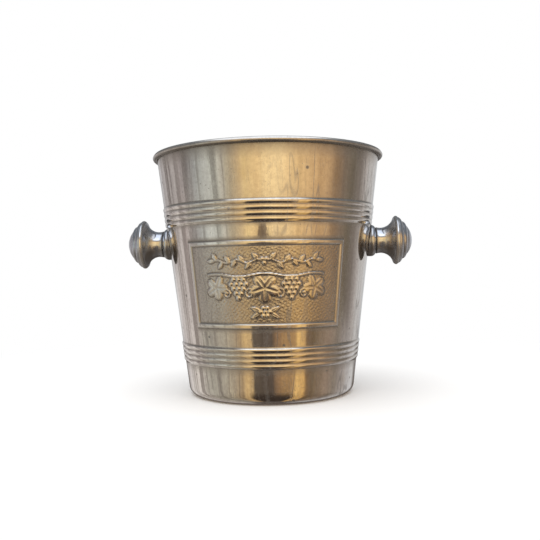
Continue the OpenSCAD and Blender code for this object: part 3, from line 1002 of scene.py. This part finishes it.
def add_camera(scene):
    stage = scene.bucket_stage
    a, p, r = stage.azimuth, stage.pitch, stage.roll
    right = Vector((math.cos(a), math.sin(a), 0))
    level = Vector((-math.sin(a), math.cos(a), 0))
    ahead = level * math.cos(p) + Vector((0, 0, math.sin(p)))
    up = -level * math.sin(p) + Vector((0, 0, math.cos(p)))
    leaning_right, leaning_up = right * math.cos(r) - up * math.sin(r), right * math.sin(r) + up * math.cos(r)
    data = bpy.data.cameras.new("camera")
    data.sensor_fit, data.sensor_width, data.lens = "HORIZONTAL", 36.0, stage.lens
    data.clip_start, data.clip_end = 0.01, 50.0
    camera = bpy.data.objects.new("camera", data)
    scene.collection.objects.link(camera)
    turned = Matrix((leaning_right, leaning_up, -ahead)).transposed()
    place = right * stage.side - level * stage.distance + Vector((0, 0, stage.camera_z))
    camera.matrix_world = Matrix.Translation(place) @ turned.to_4x4()
    scene.camera = camera


# ---------------- operators

class BUCKET_OT_stage(bpy.types.Operator):
    """Sets up the floor, the soft light and the camera"""
    bl_idname = "bucket.stage"
    bl_label = "Stage"

    def execute(self, context):
        scene = context.scene
        scene.view_settings.view_transform = "Standard"
        deselect()
        bpy.ops.mesh.primitive_circle_add(vertices=96, radius=4.0, fill_type="NGON", location=(0, 0, 0))
        floor = context.object
        floor.name = "floor"
        floor.data.materials.append(floor_material(scene.bucket_stage.floor))
        floor.visible_glossy = False
        build_world(scene)
        add_softbox("overhead_softbox", (-0.10, -0.25, 1.1), (0, 0, 0.08), (1.2, 0.9), 5.0, (1.0, 0.99, 0.98))
        add_camera(scene)
        return {"FINISHED"}


class BUCKET_OT_body(bpy.types.Operator):
    """Spins the bucket with its rolled rim and reeded bands, and stamps the panel in its front"""
    bl_idname = "bucket.body"
    bl_label = "Bucket body"

    def execute(self, context):
        scene = context.scene
        wall = Wall(scene)
        front, flank = math.radians(50), math.radians(55)
        points = [(r * math.sin(front), -r * math.cos(front), z) for r, z in wall.outline()]
        piece = draw_outline("bucket_body_silver", points)
        middle_r = wall.radius((wall.panel.bottom + wall.panel.top) / 2)
        front_steps = round(2 * front * middle_r / wall.panel.grid)
        back = 2 * (math.pi - front - flank)
        sweeps = [(2 * front, front_steps), (flank, 18), (back, 36), (flank, 18)]
        spin_outline(piece, (0, 0, 0), (0, 0, 1), sweeps)
        shape_body(piece, wall)
        material = silver_material(
            "worn_silver_plate", scene.bucket_colours.silver, scene.bucket_colours, 0.03, 0.5)
        finish_piece(piece, material, "bucket_body", 50)
        return {"FINISHED"}


class BUCKET_OT_handles(bpy.types.Operator):
    """Turns the neck and the stepped dome of each knob handle"""
    bl_idname = "bucket.handles"
    bl_label = "Knob handles"

    def execute(self, context):
        scene = context.scene
        wall = Wall(scene)
        h = scene.bucket_handles
        # The knobs get the cool knob silver, a painted steel-blue reflection.
        material = silver_material(
            "turned_silver_plate", scene.bucket_colours.knob, scene.bucket_colours, 0.16, 0.3, 0.2, False)
        for side, name in ((1, "right"), (-1, "left")):
            spool = turned_piece(scene, name + "_knob_spool_silver", spool_outline(scene, wall), side)
            seat_on_wall(spool, scene, wall, side)
            cap = turned_piece(scene, name + "_knob_cap_silver", cap_outline(scene), side)
            for piece, node in ((spool, name + "_knob_spool"), (cap, name + "_knob_cap")):
                mark_handle(piece, wall.radius(h.axis_z), h)
                finish_piece(piece, material, node, 55)
        return {"FINISHED"}


class BUCKET_OT_fittings(bpy.types.Operator):
    """Gives the rim wire, studs, gaskets, washers and nuts their finishes"""
    bl_idname = "bucket.fittings"
    bl_label = "Fittings"

    def execute(self, context):
        colours = context.scene.bucket_colours
        brass = plain_metal_material("dull_brass", colours.brass, 0.28, 0.6)
        nickel = plain_metal_material("nickel_plate", colours.nickel, 0.14, 0.35)
        fibre = soft_material("red_brown_fibre", colours.fibre, 0.6, 900.0)
        rubber = soft_material("black_rubber", colours.rubber, 0.55, 1500.0)
        finishes = {"rim_wire": brass, "stud": brass, "washer": nickel, "dome_nut": nickel,
                    "collar_gasket": fibre, "inner_gasket": rubber}
        for name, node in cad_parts.items():
            for part, material in finishes.items():
                if name.endswith(part):
                    node.data.materials.clear()
                    node.data.materials.append(material)
        return {"FINISHED"}


class BUCKET_PT_panel(bpy.types.Panel):
    """Lists the steps that build the bucket"""
    bl_idname = "BUCKET_PT_panel"
    bl_label = "Champagne bucket"
    bl_space_type = "VIEW_3D"
    bl_region_type = "UI"
    bl_category = "Bucket"

    def draw(self, context):
        for step in STEPS:
            self.layout.operator(step.bl_idname)
        for group in GROUPS:
            values = getattr(context.scene, group)
            box = self.layout.box()
            for name in values.__annotations__:
                box.prop(values, name)


STEPS = (BUCKET_OT_stage, BUCKET_OT_body, BUCKET_OT_handles, BUCKET_OT_fittings)


def register():
    for group in GROUPS.values():
        bpy.utils.register_class(group)
    for name, group in GROUPS.items():
        setattr(bpy.types.Scene, name, bpy.props.PointerProperty(type=group))
    for step in STEPS:
        bpy.utils.register_class(step)
    bpy.utils.register_class(BUCKET_PT_panel)


def unregister():
    bpy.utils.unregister_class(BUCKET_PT_panel)
    for step in reversed(STEPS):
        bpy.utils.unregister_class(step)
    for name, group in reversed(list(GROUPS.items())):
        delattr(bpy.types.Scene, name)
        bpy.utils.unregister_class(group)


def main():
    register()
    bpy.ops.bucket.stage()
    bpy.ops.bucket.body()
    bpy.ops.bucket.handles()
    bpy.ops.bucket.fittings()


if __name__ == "__main__":
    main()
